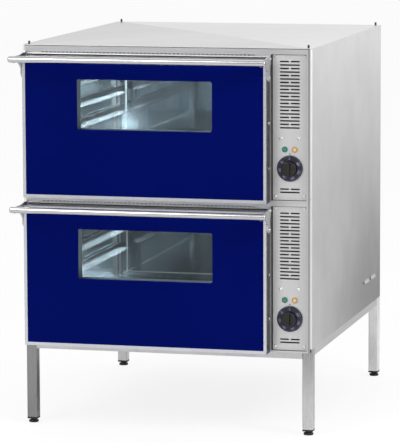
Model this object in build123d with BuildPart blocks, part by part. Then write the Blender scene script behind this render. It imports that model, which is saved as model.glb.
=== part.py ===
from build123d import *
import os
import math

os.makedirs("parts", exist_ok=True)

# ---------------------------------------------------------------- dimensions
# Free-standing two-deck oven on a four-leg stand.
# Frame: +Z up, front of the oven faces -Y, origin on the floor at the middle
# of the whole object's box (door handles in front, cable gland behind).
BODY_W = 840.0            # width of the cabinet
BODY_D = 982.0            # depth of the cabinet, front sheet to back sheet
BODY_Z0 = 248.0           # underside of the cabinet = top of the stand
BODY_Z1 = 1089.0          # top of the side panels, the lid sits on it
LEFT = -BODY_W / 2 - 0.5    # left outer face; louvre hoods stand proud on the right
FRONT = -436.0            # front plane of the front sheets
SHEET = 1.5               # stainless sheet thickness
PITCH = 424.0             # height of one deck
DECKS = {"lower": 247.0, "upper": 247.0 + PITCH}   # reference height of each deck

TUBE = 30.0               # square tube of the stand
TUBE_WALL = 2.0
LEG_Z0 = 16.5             # lower end of the leg tubes
RAIL_Z0 = 218.0
RAIL_W = 20.0             # the side rails are 20 x 30 tube
RAIL_IN = 10.0            # and stand this far inside the legs' outer faces
LEG_IN = 8.0              # front legs stand this far behind the front sheets

DOOR_X0, DOOR_X1 = LEFT + 11.5, LEFT + 719.7
DOOR_DZ0, DOOR_DZ1 = -11.3, 388.5                   # from the deck's reference
DOOR_Y0, DOOR_Y1 = FRONT - 43.0, FRONT - 2.0
DOOR_LIP = 9.0            # visible stainless border round the painted skin
WIN_X0, WIN_X1 = LEFT + 172.5, LEFT + 563.5
WIN_DZ0, WIN_DZ1 = 185.0, 326.0
GLASS_OVER = 10.0         # glass overlap behind the skin
HINGE_Y, HINGE_DZ = FRONT - 32.0, -2.3              # door hinge axis

HANDLE_R = 9.0
HANDLE_Y, HANDLE_DZ = FRONT - 123.0, 386.0
HANDLE_X0, HANDLE_X1 = LEFT - 3.0, LEFT + 736.0

CAV_X0, CAV_X1 = LEFT + 62.0, LEFT + 678.0          # baking chamber, inside
CAV_DZ0, CAV_DZ1 = 72.0, 350.0
CAV_Y1 = FRONT + 850.0
RUNNER_DZ = (154.0, 214.5, 279.0)                    # tray runner levels

PANEL_X = LEFT + 775.0    # centre line of the control column
OPEN_X0, OPEN_X1 = LEFT + 723.0, LEFT + 824.0
OPEN_DZ0, OPEN_DZ1 = -6.0, 402.0
PLATE_Y = FRONT + 6.0     # front face of the control plates
KNOB_DZ = 84.0
KNOB_R = 36.5
LAMP_DZ, LAMP_DX = 137.0, 14.3
VENT_DZ, VENT_PITCH, VENT_W, VENT_H = 382.2, 9.72, 56.4, 4.0

BACK = FRONT + BODY_D
RIGHT = LEFT + BODY_W
MID_X = LEFT + BODY_W / 2
LID_RISE = 3.2            # the lid's middle stands this much over its flat border
LID_BORDER = 30.0
LOUVRES = (FRONT + 762.5, FRONT + 860.0)             # right-hand side panel, low at the rear
STUDS = [(LEFT + 16, FRONT + 15), (RIGHT - 14, FRONT + 15), (LEFT + 16, BACK - 15), (RIGHT - 14, BACK - 15)]


def box(x0, x1, y0, y1, z0, z1, mode=Mode.ADD):
    """Axis-aligned block between two corners, in the running part."""
    with Locations(((x0 + x1) / 2, (y0 + y1) / 2, (z0 + z1) / 2)):
        Box(x1 - x0, y1 - y0, z1 - z0, mode=mode)


def front_plane(y):
    """Sketch plane facing the front (normal -Y) at the given depth."""
    return Plane.XZ.offset(-y)


def save(builder, name):
    builder.part.label = name
    export_step(builder.part, "parts/" + name + ".step")


# ---------------------------------------------------------------- stand
legs = {
    "fl": (LEFT + TUBE / 2, FRONT + LEG_IN + TUBE / 2),
    "fr": (RIGHT - TUBE / 2, FRONT + LEG_IN + TUBE / 2),
    "bl": (LEFT + TUBE / 2, BACK - TUBE / 2),
    "br": (RIGHT - TUBE / 2, BACK - TUBE / 2),
}
for corner, (lx, ly) in legs.items():
    with BuildPart() as leg:
        with BuildSketch(Plane.XY.offset(LEG_Z0)):
            with Locations((lx, ly)):
                RectangleRounded(TUBE, TUBE, 2.5)
                RectangleRounded(TUBE - 2 * TUBE_WALL, TUBE - 2 * TUBE_WALL, 1.0, mode=Mode.SUBTRACT)
        extrude(amount=BODY_Z0 - LEG_Z0)
    save(leg, "leg_" + corner)

rail_zc = (RAIL_Z0 + BODY_Z0) / 2
with BuildPart() as cross_rails:
    with BuildSketch(Plane.YZ.offset(LEFT + TUBE)):
        with Locations((FRONT + LEG_IN + TUBE / 2, rail_zc), (BACK - TUBE / 2, rail_zc)):
            Rectangle(TUBE, TUBE)
            Rectangle(TUBE - 2 * TUBE_WALL, TUBE - 2 * TUBE_WALL, mode=Mode.SUBTRACT)
    extrude(amount=BODY_W - 2 * TUBE)
save(cross_rails, "stand_cross_rails")

with BuildPart() as side_rails:
    with BuildSketch(Plane.XZ.offset(-(FRONT + LEG_IN + TUBE))):
        with Locations((LEFT + RAIL_IN + RAIL_W / 2, rail_zc), (RIGHT - RAIL_IN - RAIL_W / 2, rail_zc)):
            Rectangle(RAIL_W, TUBE)
            Rectangle(RAIL_W - 2 * TUBE_WALL, TUBE - 2 * TUBE_WALL, mode=Mode.SUBTRACT)
    extrude(amount=-(BODY_D - LEG_IN - 2 * TUBE))
save(side_rails, "stand_side_rails")

# black plastic end plugs pressed into the leg tubes, bored for the foot studs
with BuildPart() as inserts:
    with BuildSketch(Plane.XY.offset(11.5)):
        with Locations(*legs.values()):
            RectangleRounded(TUBE, TUBE, 2.5)
    extrude(amount=5.0)
    with BuildSketch(Plane.XY.offset(16.5)):
        with Locations(*legs.values()):
            RectangleRounded(TUBE - 2 * TUBE_WALL - 0.2, TUBE - 2 * TUBE_WALL - 0.2, 1.0)
    extrude(amount=24.0)
    with BuildSketch(Plane.XY.offset(11.5)):
        with Locations(*legs.values()):
            Circle(5.5)
    extrude(amount=30.0, mode=Mode.SUBTRACT)
save(inserts, "leg_inserts")

for corner, (lx, ly) in legs.items():
    with BuildPart() as foot:
        with BuildSketch(Plane.XY):
            with Locations((lx, ly)):
                Circle(14.0)
        extrude(amount=6.5)
        with BuildSketch(Plane.XY.offset(6.5)):
            with Locations((lx, ly)):
                Circle(9.0)
        extrude(amount=4.7)
        chamfer(foot.edges().group_by(Axis.Z)[0], length=1.2)
        fillet(foot.edges().filter_by(GeomType.CIRCLE).filter_by(lambda e: abs(e.center().Z - 6.5) < 0.01 and e.radius > 13), radius=1.8)
        with BuildSketch(Plane.XY.offset(11.2)):
            with Locations((lx, ly)):
                Circle(5.0)
        extrude(amount=52.0)
    save(foot, "foot_" + corner)

# ---------------------------------------------------------------- cabinet
for side, s in (("left", -1.0), ("right", 1.0)):
    xo = LEFT if side == "left" else RIGHT
    with BuildPart() as side_panel:
        # the panel turns 6 mm round the front corner with a soft bend
        box(min(xo, xo - s * SHEET), max(xo, xo - s * SHEET), FRONT, BACK, BODY_Z0, BODY_Z1)
        box(min(xo, xo - s * 6.0), max(xo, xo - s * 6.0), FRONT, FRONT + SHEET, BODY_Z0, BODY_Z1)
        outer = side_panel.edges().filter_by(Axis.Z).sort_by_distance((xo, FRONT, 670))[0]
        fillet(outer, radius=4.4)
        inner = side_panel.edges().filter_by(Axis.Z).sort_by_distance((xo - s * SHEET, FRONT + SHEET, 670))[0]
        fillet(inner, radius=3.0)
        # shadow notch in the corner return where the two decks meet
        box(min(xo - s * 1.0, xo - s * 7.0), max(xo - s * 1.0, xo - s * 7.0), FRONT - 1, FRONT + SHEET, 670.3, 671.7, mode=Mode.SUBTRACT)
        if side == "right":
            # pressed louvre hoods, sloped outside, open underneath
            for yc in LOUVRES:
                with BuildSketch(front_plane(yc - 32.0)):
                    with BuildLine():
                        Polyline((xo - 0.5, 335), (xo + 4, 325), (xo + 4, 322), (xo - 0.5, 322), close=True)
                    make_face()
                extrude(amount=-64.0)
                with BuildSketch(front_plane(yc - 31.0)):
                    with BuildLine():
                        Polyline((xo - 2, 331.5), (xo + 0.3, 331.5), (xo + 2.9, 325), (xo + 2.9, 321), (xo - 2, 321), close=True)
                    make_face()
                extrude(amount=-62.0, mode=Mode.SUBTRACT)
    save(side_panel, "side_panel_" + side)

with BuildPart() as top_panel:
    # lid sheet: flat border, then four facets rising to the middle
    box(LEFT, RIGHT, FRONT, BACK, BODY_Z1, BODY_Z1 + SHEET)
    fillet(top_panel.edges().group_by(Axis.Z)[-1], radius=1.2)
    with BuildSketch(Plane.XY.offset(BODY_Z1 + SHEET)):
        with Locations((MID_X, FRONT + BODY_D / 2)):
            Rectangle(BODY_W - 2 * LID_BORDER, BODY_D - 2 * LID_BORDER)
    with BuildSketch(Plane.XY.offset(BODY_Z1 + SHEET + LID_RISE)):
        with Locations((MID_X, FRONT + BODY_D / 2)):
            Rectangle(4, 4)
    loft()
    with BuildSketch(Plane.XY.offset(BODY_Z1)):
        with Locations((MID_X, FRONT + BODY_D / 2)):
            Rectangle(BODY_W - 2 * LID_BORDER, BODY_D - 2 * LID_BORDER)
    with BuildSketch(Plane.XY.offset(BODY_Z1 + LID_RISE)):
        with Locations((MID_X, FRONT + BODY_D / 2)):
            Rectangle(4, 4)
    loft(mode=Mode.SUBTRACT)
    with BuildSketch(Plane.XY.offset(BODY_Z1 - 1)):
        with Locations(*STUDS):
            Circle(2.4)
    extrude(amount=8.0, mode=Mode.SUBTRACT)
save(top_panel, "top_panel")

# four locating studs near the corners of the lid, for a further deck
with BuildPart() as studs:
    with BuildSketch(Plane.XY.offset(BODY_Z1 + SHEET)):
        with Locations(*STUDS):
            Circle(3.0)
    extrude(amount=9.0)
    fillet(studs.edges().group_by(Axis.Z)[-1], radius=1.0)
    # narrower shank through the lid sheet
    with BuildSketch(Plane.XY.offset(BODY_Z1)):
        with Locations(*STUDS):
            Circle(2.4)
    extrude(amount=SHEET)
save(studs, "stacking_studs")

GLAND_X, GLAND_Z = RIGHT - 60.0, 320.0
with BuildPart() as back_panel:
    box(LEFT + SHEET, RIGHT - SHEET, BACK - SHEET, BACK, BODY_Z0, BODY_Z1)
    with BuildSketch(front_plane(BACK + 1)):
        for base in DECKS.values():
            with Locations((MID_X, base + 345)):
                with GridLocations(120, 14, 4, 3):
                    SlotOverall(90, 5)
        with Locations((GLAND_X, GLAND_Z)):
            Circle(11.0)
    extrude(amount=SHEET + 2, mode=Mode.SUBTRACT)
save(back_panel, "back_panel")

with BuildPart() as base_panel:
    box(LEFT + SHEET, RIGHT - SHEET, FRONT + LEG_IN, BACK - SHEET, BODY_Z0, BODY_Z0 + SHEET)
save(base_panel, "base_panel")

PART_X0 = LEFT + 700.0
with BuildPart() as mid_shelf:
    box(LEFT + SHEET, PART_X0, FRONT + LEG_IN, BACK - SHEET, 660.0, 661.5)
save(mid_shelf, "mid_shelf")

with BuildPart() as partition:
    box(PART_X0, PART_X0 + SHEET, FRONT + LEG_IN, BACK - SHEET, BODY_Z0 + SHEET, BODY_Z1)
    # cable pass-throughs to the rear of each chamber
    with BuildSketch(Plane.YZ.offset(PART_X0 - 1)):
        with Locations((BACK - 45, 300), (BACK - 45, 724)):
            Circle(14)
    extrude(amount=SHEET + 2, mode=Mode.SUBTRACT)
save(partition, "partition_panel")

# ---------------------------------------------------------------- front sheets
FASCIA_TOP = {"lower": 659.7, "upper": BODY_Z1 - 1.6}   # narrow shadow joint under the lid
for deck, base in DECKS.items():
    with BuildPart() as fascia:
        z0, z1 = base - 11.0, FASCIA_TOP[deck]
        box(LEFT + 6.0, RIGHT - 6.0, FRONT, FRONT + SHEET, z0, z1)
        # bottom return flange
        box(LEFT + 6.0, RIGHT - 6.0, FRONT + SHEET, FRONT + LEG_IN, z0, z0 + SHEET)
        # return flange round the control opening, a shadow gap short of the plate
        box(OPEN_X0 - SHEET, OPEN_X1 + SHEET, FRONT + SHEET, PLATE_Y - 1.3, base + OPEN_DZ0 - SHEET, base + OPEN_DZ1 + SHEET)
        box(OPEN_X0, OPEN_X1, FRONT - 1, PLATE_Y + 0.5, base + OPEN_DZ0, base + OPEN_DZ1, mode=Mode.SUBTRACT)
        # chamber mouth
        box(CAV_X0, CAV_X1, FRONT - 1, FRONT + SHEET + 1, base + CAV_DZ0, base + CAV_DZ1, mode=Mode.SUBTRACT)
        # outlet gap above the door
        box(LEFT + 14.0, LEFT + 717.0, FRONT - 1, FRONT + SHEET + 1, base + 389.2, base + 392.6, mode=Mode.SUBTRACT)
        # slots for the hinge arms
        for hx in (LEFT + 61.0, LEFT + 670.2):
            box(hx - 4.0, hx + 4.0, FRONT - 1, FRONT + SHEET + 1, base + 6.5, base + 19.0, mode=Mode.SUBTRACT)
        # rolled bead under the header
        with BuildSketch(Plane.YZ.offset(LEFT + 14.0)):
            with Locations((FRONT + 0.2, base + 394.6)):
                Circle(2.0)
        extrude(amount=703.0)
        # row of small air slots over the bead
        with BuildSketch(front_plane(FRONT - 1)):
            with Locations((LEFT + 366.0, base + 399.0)):
                with GridLocations(12.0, 1, 52, 1):
                    SlotOverall(8.0, 3.0)
        extrude(amount=-4.0, mode=Mode.SUBTRACT)
    save(fascia, "fascia_" + deck)

for deck, base in DECKS.items():
    with BuildPart() as plate:
        box(LEFT + 715.0, LEFT + 832.0, PLATE_Y, PLATE_Y + SHEET, base - 9.5, base + 406.0)
        with BuildSketch(front_plane(PLATE_Y - 1)):
            for row in range(20):
                z = base + VENT_DZ - VENT_PITCH * row
                if row % 2 == 0:
                    with Locations((PANEL_X - VENT_W / 4 - 1.25, z), (PANEL_X + VENT_W / 4 + 1.25, z)):
                        SlotOverall(VENT_W / 2 - 2.5, VENT_H)
                else:
                    with Locations((PANEL_X, z)):
                        SlotOverall(VENT_W, VENT_H)
            with Locations((PANEL_X - VENT_W / 4 - 1.25, base + 26.0), (PANEL_X + VENT_W / 4 + 1.25, base + 26.0)):
                SlotOverall(VENT_W / 2 - 2.5, VENT_H)
            with Locations((PANEL_X, base + 17.0)):
                SlotOverall(VENT_W, VENT_H)
            with Locations((PANEL_X - LAMP_DX, base + LAMP_DZ), (PANEL_X + LAMP_DX, base + LAMP_DZ)):
                Circle(6.0)
            with Locations((PANEL_X, base + KNOB_DZ)):
                Circle(5.0)
        extrude(amount=-4.0, mode=Mode.SUBTRACT)
    save(plate, "control_plate_" + deck)

# fixing screws in the plate corners, and two larger ones over the lamps
with BuildPart() as corner_screws:
    with BuildSketch(front_plane(PLATE_Y)):
        for base in DECKS.values():
            with Locations((PANEL_X - 41.5, base + 397.5), (PANEL_X + 41.5, base + 397.5), (PANEL_X - 41.5, base + 6), (PANEL_X + 41.5, base + 6)):
                Circle(4.0)
    extrude(amount=2.4)
    fillet(corner_screws.edges().group_by(Axis.Y)[0], radius=1.6)
    # cross recess
    with BuildSketch(front_plane(PLATE_Y - 2.5)):
        for base in DECKS.values():
            with Locations((PANEL_X - 41.5, base + 397.5), (PANEL_X + 41.5, base + 397.5), (PANEL_X - 41.5, base + 6), (PANEL_X + 41.5, base + 6)):
                Rectangle(3.8, 0.9, rotation=38)
                Rectangle(0.9, 3.8, rotation=38)
    extrude(amount=-1.3, mode=Mode.SUBTRACT)
save(corner_screws, "corner_screws")

with BuildPart() as centre_screws:
    with BuildSketch(front_plane(PLATE_Y)):
        for base in DECKS.values():
            with Locations((PANEL_X - 26.0, base + 168), (PANEL_X + 26.0, base + 168)):
                Circle(5.0)
    extrude(amount=3.0)
    fillet(centre_screws.edges().group_by(Axis.Y)[0], radius=2.0)
    # hexagon socket
    with BuildSketch(front_plane(PLATE_Y - 3.1)):
        for base in DECKS.values():
            with Locations((PANEL_X - 26.0, base + 168), (PANEL_X + 26.0, base + 168)):
                RegularPolygon(2.1, 6)
    extrude(amount=-1.8, mode=Mode.SUBTRACT)
save(centre_screws, "centre_screws")

for colour, sgn in (("green", -1), ("amber", 1)):
    with BuildPart() as lamp:
        with BuildSketch(front_plane(PLATE_Y)):
            for base in DECKS.values():
                with Locations((PANEL_X + sgn * LAMP_DX, base + LAMP_DZ)):
                    Circle(8.3)
        extrude(amount=4.0)
        fillet(lamp.edges().group_by(Axis.Y)[0], radius=2.6)
        with BuildSketch(front_plane(PLATE_Y)):
            for base in DECKS.values():
                with Locations((PANEL_X + sgn * LAMP_DX, base + LAMP_DZ)):
                    Circle(6.0)
        extrude(amount=-24.0)
    save(lamp, "lamps_" + colour)

for deck, base in DECKS.items():
    with BuildPart() as knob:
        ky = PLATE_Y - 1.5                    # back of the dial skirt
        with BuildSketch(front_plane(ky)):
            with Locations((PANEL_X, base + KNOB_DZ)):
                Circle(KNOB_R)
        extrude(amount=4.5)
        fillet(knob.edges().group_by(Axis.Y)[0], radius=2.0)
        with BuildSketch(front_plane(ky - 4.5)):
            with Locations((PANEL_X, base + KNOB_DZ)):
                Circle(21.5)
        extrude(amount=13.0, taper=5)
        fillet(knob.edges().group_by(Axis.Y)[0], radius=2.5)
        # finger bar across the grip
        with BuildSketch(front_plane(ky - 17.5)):
            with Locations((PANEL_X, base + KNOB_DZ)):
                RectangleRounded(9.0, 35.0, 3.0)
        extrude(amount=6.0, taper=8)
        # D-shaft into the thermostat
        with BuildSketch(front_plane(ky)):
            with Locations((PANEL_X, base + KNOB_DZ)):
                Circle(3.0)
        extrude(amount=-26.0)
    save(knob, "knob_" + deck)

with BuildPart() as thermostats:
    for base in DECKS.values():
        box(PANEL_X - 20, PANEL_X + 20, PLATE_Y + 6.0, PLATE_Y + 44.0, base + KNOB_DZ - 19, base + KNOB_DZ + 19)
    with BuildSketch(front_plane(PLATE_Y + SHEET)):
        for base in DECKS.values():
            with Locations((PANEL_X, base + KNOB_DZ)):
                Circle(8.0)
    extrude(amount=-4.5)
    with BuildSketch(front_plane(PLATE_Y)):
        for base in DECKS.values():
            with Locations((PANEL_X, base + KNOB_DZ)):
                Circle(3.5)
    extrude(amount=-30.0, mode=Mode.SUBTRACT)
save(thermostats, "thermostats")

with BuildPart() as terminal_block:
    box(PART_X0 + SHEET, PART_X0 + SHEET + 22, BACK - 120, BACK - 40, 340.0, 370.0)
    with BuildSketch(Plane.YZ.offset(PART_X0 + SHEET + 22)):
        with Locations((BACK - 80, 355)):
            with GridLocations(12, 14, 5, 2):
                Circle(3.0)
    extrude(amount=-6.0, mode=Mode.SUBTRACT)
save(terminal_block, "terminal_block")

with BuildPart() as gland:
    with BuildSketch(front_plane(BACK)):
        with Locations((GLAND_X, GLAND_Z)):
            RegularPolygon(16.0, 6)
    extrude(amount=-8.0)
    with BuildSketch(front_plane(BACK + 8.0)):
        with Locations((GLAND_X, GLAND_Z)):
            Circle(12.5)
    extrude(amount=-14.0)
    fillet(gland.edges().group_by(Axis.Y)[-1], radius=2.5)
    with BuildSketch(front_plane(BACK)):
        with Locations((GLAND_X, GLAND_Z)):
            Circle(11.0)
    extrude(amount=10.0)
    with BuildSketch(front_plane(BACK + 30.0)):
        with Locations((GLAND_X, GLAND_Z)):
            Circle(6.5)
    extrude(amount=60.0, mode=Mode.SUBTRACT)
save(gland, "cable_gland")

# ---------------------------------------------------------------- chambers
for deck, base in DECKS.items():
    with BuildPart() as chamber:
        box(CAV_X0 - SHEET, CAV_X1 + SHEET, FRONT + SHEET, CAV_Y1 + SHEET, base + CAV_DZ0 - SHEET, base + CAV_DZ1 + SHEET)
        box(CAV_X0, CAV_X1, FRONT, CAV_Y1, base + CAV_DZ0, base + CAV_DZ1, mode=Mode.SUBTRACT)
    save(chamber, "chamber_" + deck)

    z0 = BODY_Z0 + SHEET if deck == "lower" else 661.5
    z1 = 660.0 if deck == "lower" else BODY_Z1
    with BuildPart() as wool:
        box(LEFT + SHEET, PART_X0, FRONT + 31.5, FRONT + 900, z0, z1)
        box(CAV_X0 - SHEET, CAV_X1 + SHEET, FRONT + 31.5, CAV_Y1 + SHEET, base + CAV_DZ0 - 14.0, base + CAV_DZ1 + SHEET, mode=Mode.SUBTRACT)
    save(wool, "insulation_" + deck)

    with BuildPart() as racks:
        for s, xw in ((1, CAV_X0), (-1, CAV_X1)):
            # upright posts: one at the mouth, a pair at the rear
            for py in (34.0, 714.0, 758.0):
                box(min(xw, xw + s * 8), max(xw, xw + s * 8), FRONT + py, FRONT + py + 14, base + CAV_DZ0, base + CAV_DZ1 - 20)
            for lz in RUNNER_DZ:
                # angle runner: upright leg on the posts, shelf towards the middle
                box(min(xw + s * 8, xw + s * 9.5), max(xw + s * 8, xw + s * 9.5), FRONT + 30, FRONT + 800, base + lz, base + lz + 24)
                box(min(xw + s * 8, xw + s * 28), max(xw + s * 8, xw + s * 28), FRONT + 30, FRONT + 800, base + lz, base + lz + 1.5)
    save(racks, "tray_racks_" + deck)

EL_R = 4.2
with BuildPart() as elements:
    for base in DECKS.values():
        for ez in (base + CAV_DZ1 - 16.0, base + CAV_DZ0 - SHEET - EL_R):
            with BuildLine() as el_path:
                pts = [
                    (LEFT + 180, CAV_Y1, ez), (LEFT + 180, FRONT + 120, ez), (LEFT + 275, FRONT + 120, ez),
                    (LEFT + 275, FRONT + 730, ez), (LEFT + 370, FRONT + 730, ez), (LEFT + 370, FRONT + 120, ez),
                    (LEFT + 465, FRONT + 120, ez), (LEFT + 465, FRONT + 730, ez), (LEFT + 560, FRONT + 730, ez),
                    (LEFT + 560, FRONT + 120, ez), (LEFT + 620, FRONT + 120, ez), (LEFT + 620, CAV_Y1, ez),
                ]
                FilletPolyline(*pts, radius=28)
            with BuildSketch(Plane.XZ.offset(-CAV_Y1)):
                with Locations((LEFT + 180, ez)):
                    Circle(EL_R)
            sweep(path=el_path.line)
save(elements, "heating_elements")

with BuildPart() as probes:
    for base in DECKS.values():
        box(CAV_X1 - 12, CAV_X1, FRONT + 420, FRONT + 430, base + 325, base + 341)
        with BuildSketch(Plane.XZ.offset(-(FRONT + 370))):
            with Locations((CAV_X1 - 6, base + 333)):
                Circle(3.5)
        extrude(amount=-110)
save(probes, "temperature_probes")

# ---------------------------------------------------------------- doors
for deck, base in DECKS.items():
    z0, z1 = base + DOOR_DZ0, base + DOOR_DZ1
    hinge_x = (LEFT + 61.0, LEFT + 670.2)
    with BuildPart() as frame:
        # folded C-section border: outer wall, front lip and rear lip
        box(DOOR_X0, DOOR_X1, DOOR_Y0, DOOR_Y1, z0, z1)
        box(DOOR_X0 + SHEET, DOOR_X1 - SHEET, DOOR_Y0 + SHEET, DOOR_Y1 - SHEET, z0 + SHEET, z1 - SHEET, mode=Mode.SUBTRACT)
        box(DOOR_X0 + DOOR_LIP, DOOR_X1 - DOOR_LIP, DOOR_Y0 - 1, DOOR_Y1 + 1, z0 + DOOR_LIP, z1 - DOOR_LIP, mode=Mode.SUBTRACT)
        # clearance notches for the hinge arms
        for hx in hinge_x:
            box(hx - 6, hx + 6, FRONT - 40.0, FRONT, z0 - 1, base + 19.0, mode=Mode.SUBTRACT)
        fillet(frame.edges().filter_by(Axis.Z).group_by(Axis.Y)[0].filter_by(lambda e: e.length > 350 and (abs(e.center().X - DOOR_X0) < 0.1 or abs(e.center().X - DOOR_X1) < 0.1)), radius=1.2)
        # mitre joints of the four lip corners
        for cx, cz, ang in ((DOOR_X0, z0, 45), (DOOR_X1, z0, -45), (DOOR_X0, z1, -45), (DOOR_X1, z1, 45)):
            sx = 1 if cx == DOOR_X0 else -1
            sz = 1 if cz == z0 else -1
            with BuildSketch(front_plane(DOOR_Y0 - 1)):
                with Locations((cx + sx * DOOR_LIP / 2, cz + sz * DOOR_LIP / 2)):
                    Rectangle(11.5, 0.8, rotation=ang)
            extrude(amount=-1.7, mode=Mode.SUBTRACT)
    save(frame, "door_frame_" + deck)

    with BuildPart() as skin:
        box(DOOR_X0 + SHEET, DOOR_X1 - SHEET, DOOR_Y0 + SHEET, DOOR_Y0 + 2 * SHEET, z0 + SHEET, z1 - SHEET)
        with BuildSketch(front_plane(DOOR_Y0)) as win:
            with Locations(((WIN_X0 + WIN_X1) / 2, base + (WIN_DZ0 + WIN_DZ1) / 2)):
                Rectangle(WIN_X1 - WIN_X0, WIN_DZ1 - WIN_DZ0)
            fillet(win.vertices().group_by(Axis.X)[-1], radius=6.5)
            fillet(win.vertices().group_by(Axis.X)[0], radius=3.0)
        extrude(amount=-5.0, mode=Mode.SUBTRACT)
    save(skin, "door_skin_" + deck)

    gx0, gx1 = WIN_X0 - GLASS_OVER, WIN_X1 + GLASS_OVER
    gz0, gz1 = base + WIN_DZ0 - GLASS_OVER, base + WIN_DZ1 + GLASS_OVER
    with BuildPart() as glass_outer:
        box(gx0, gx1, FRONT - 40.0, FRONT - 36.0, gz0, gz1)
    save(glass_outer, "door_glass_outer_" + deck)

    with BuildPart() as glass_inner:
        box(gx0, gx1, FRONT - 9.0, FRONT - 5.0, gz0, gz1)
    save(glass_inner, "door_glass_inner_" + deck)

    with BuildPart() as liner:
        # inner door sheet with a window box that holds both panes
        box(DOOR_X0 + SHEET, DOOR_X1 - SHEET, FRONT - 5.0, FRONT - 3.5, z0 + SHEET, z1 - SHEET)
        box(gx0 - SHEET, gx1 + SHEET, FRONT - 40.0, FRONT - 5.0, gz0 - SHEET, gz1 + SHEET)
        box(gx0, gx1, FRONT - 41.0, FRONT - 5.0, gz0, gz1, mode=Mode.SUBTRACT)
        box(WIN_X0, WIN_X1, FRONT - 6.0, FRONT, base + WIN_DZ0, base + WIN_DZ1, mode=Mode.SUBTRACT)
        for hx in hinge_x:
            box(hx - 6, hx + 6, FRONT - 40.0, FRONT, z0 - 1, base + 19.0, mode=Mode.SUBTRACT)
    save(liner, "door_liner_" + deck)

    with BuildPart() as clevis:
        for hx in hinge_x:
            box(hx - 9, hx - 6, FRONT - 40.0, FRONT - 5.0, z0 + SHEET, base + 19.0)
            box(hx + 6, hx + 9, FRONT - 40.0, FRONT - 5.0, z0 + SHEET, base + 19.0)
            with BuildSketch(Plane.YZ.offset(hx - 8)):
                with Locations((HINGE_Y, base + HINGE_DZ)):
                    Circle(3.0)
            extrude(amount=16.0)
    save(clevis, "hinge_clevis_" + deck)

    with BuildPart() as bar:
        with BuildSketch(Plane.YZ.offset(HANDLE_X0)):
            with Locations((HANDLE_Y, base + HANDLE_DZ)):
                Circle(HANDLE_R)
        extrude(amount=HANDLE_X1 - HANDLE_X0)
        fillet(bar.edges(), radius=5.0)
        with BuildSketch(Plane.YZ.offset(HANDLE_X0 + 12)):
            with Locations((HANDLE_Y, base + HANDLE_DZ)):
                Circle(HANDLE_R - 1.5)
        extrude(amount=HANDLE_X1 - HANDLE_X0 - 24, mode=Mode.SUBTRACT)
    save(bar, "handle_bar_" + deck)

    with BuildPart() as brackets:
        for bx0 in (DOOR_X0 - 4.0, DOOR_X1):
            with BuildSketch(Plane.YZ.offset(bx0)) as prof:
                with BuildLine():
                    b = base
                    Polyline((FRONT - 43, b + 352), (FRONT - 43, b + 339), (FRONT - 38, b + 331), (FRONT - 31, b + 327.5), (FRONT - 23, b + 328),
                             (FRONT - 16.5, b + 334), (FRONT - 16, b + 366), (FRONT - 4, b + 382), (FRONT - 3, b + 401), (FRONT - 62, b + 393),
                             (FRONT - 123, b + 394), (FRONT - 123, b + 376), (FRONT - 96, b + 374.5))
                    ThreePointArc((FRONT - 96, b + 374.5), (FRONT - 62, b + 368), (FRONT - 43, b + 352))
                make_face()
                with Locations((HANDLE_Y, b + HANDLE_DZ)):
                    Circle(HANDLE_R, mode=Mode.SUBTRACT)
            extrude(amount=4.0)
    save(brackets, "handle_brackets_" + deck)

    # fasteners in the door's two side faces: two through each bracket, two below
    with BuildPart() as side_screws:
        for sgn, fx in ((-1, DOOR_X0), (1, DOOR_X1)):
            with BuildSketch(Plane.YZ.offset(fx + sgn * 4.0)):
                with Locations((FRONT - 24.5, base + 338.5), (FRONT - 13, base + 390)):
                    Circle(4.2)
            extrude(amount=sgn * 2.4)
            with BuildSketch(Plane.YZ.offset(fx)):
                with Locations((FRONT - 15, base + 210.8), (FRONT - 15, base + 85.2)):
                    Circle(3.8)
            extrude(amount=sgn * 2.2)
        fillet(side_screws.edges().filter_by(GeomType.CIRCLE).filter_by(
            lambda e: min(abs(e.center().X - DOOR_X0 + 6.4), abs(e.center().X - DOOR_X1 - 6.4), abs(e.center().X - DOOR_X0 + 2.2), abs(e.center().X - DOOR_X1 - 2.2)) < 0.01), radius=1.2)
    save(side_screws, "door_side_screws_" + deck)

# fixed hinge arms reaching through the front sheets into the doors
with BuildPart() as arms:
    for base in DECKS.values():
        for hx in (LEFT + 61.0, LEFT + 670.2):
            ax, az = HINGE_Y, base + HINGE_DZ
            ex, ez = FRONT + 8.0, base + 16.0
            ang = math.degrees(math.atan2(ez - az, ex - ax))
            length = math.hypot(ez - az, ex - ax)
            with BuildSketch(Plane.YZ.offset(hx - 3.0)):
                with Locations((ax, az)):
                    Circle(6.0)
                with Locations(((ax + ex) / 2, (az + ez) / 2)):
                    Rectangle(length, 8.0, rotation=ang)
            extrude(amount=6.0)
            box(hx - 8, hx + 8, FRONT + SHEET, FRONT + 18, base + 6.0, base + 30.0)
            with BuildSketch(Plane.YZ.offset(hx - 4.0)):
                with Locations((ax, az)):
                    Circle(3.1)
            extrude(amount=8.0, mode=Mode.SUBTRACT)
save(arms, "hinge_arms")

with BuildPart() as gaskets:
    for base in DECKS.values():
        box(CAV_X0 - 12, CAV_X1 + 12, FRONT - 1.7, FRONT, base + CAV_DZ0 - 12, base + CAV_DZ1 + 12)
        box(CAV_X0 - 2, CAV_X1 + 2, FRONT - 3, FRONT + 1, base + CAV_DZ0 - 2, base + CAV_DZ1 + 2, mode=Mode.SUBTRACT)
save(gaskets, "door_gaskets")
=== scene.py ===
import bpy, bmesh, math
from mathutils import Vector, Matrix


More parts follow.
